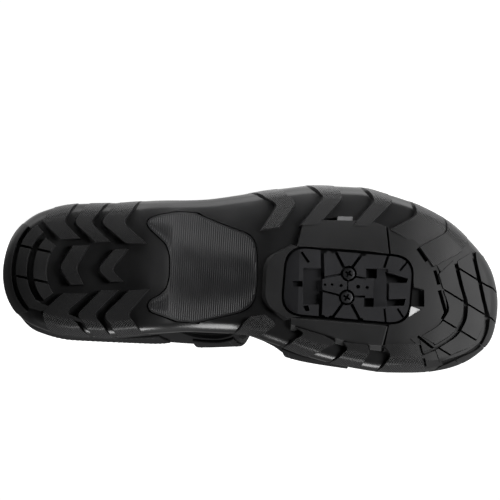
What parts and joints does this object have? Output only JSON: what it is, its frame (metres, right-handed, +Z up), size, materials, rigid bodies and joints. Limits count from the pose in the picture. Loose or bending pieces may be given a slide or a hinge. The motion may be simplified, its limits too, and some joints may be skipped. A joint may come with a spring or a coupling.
{
  "type": "cycling sandal",
  "caption": "Open strapped cycling sandal lying on its side: chevron-lugged rubber sole with a covered cleat pocket, foam midsole, heel quarters, instep and forefoot straps.",
  "frame": {"origin": "centre of the bounding box, on the floor", "axes": "+X runs towards the heel, +Y from the tread towards the collar, +Z up from the lateral side that the sandal lies on"},
  "size_m": [0.2904, 0.1088, 0.1161],
  "materials": {
    "rubber": "matt moulded rubber with fine knurling on the lugs",
    "nylon": "satin nylon with fine cross ribs",
    "cover": "satin stiff rubber",
    "steel": "blackened steel",
    "foam": "matt moulded foam",
    "bed": "knit-covered foam",
    "upper": "matt synthetic leather",
    "strap": "coated webbing"
  },
  "bodies": {
    "root": {"outsole": "rubber", "arch_plate": "nylon", "cleat_cover": "cover", "cleat_screw_lateral": "steel", "cleat_screw_medial": "steel", "midsole": "foam", "insole": "bed", "upper": "upper", "heel_counter": "strap", "instep_strap": "strap", "forefoot_strap": "strap"}
  },
  "joints": []
}
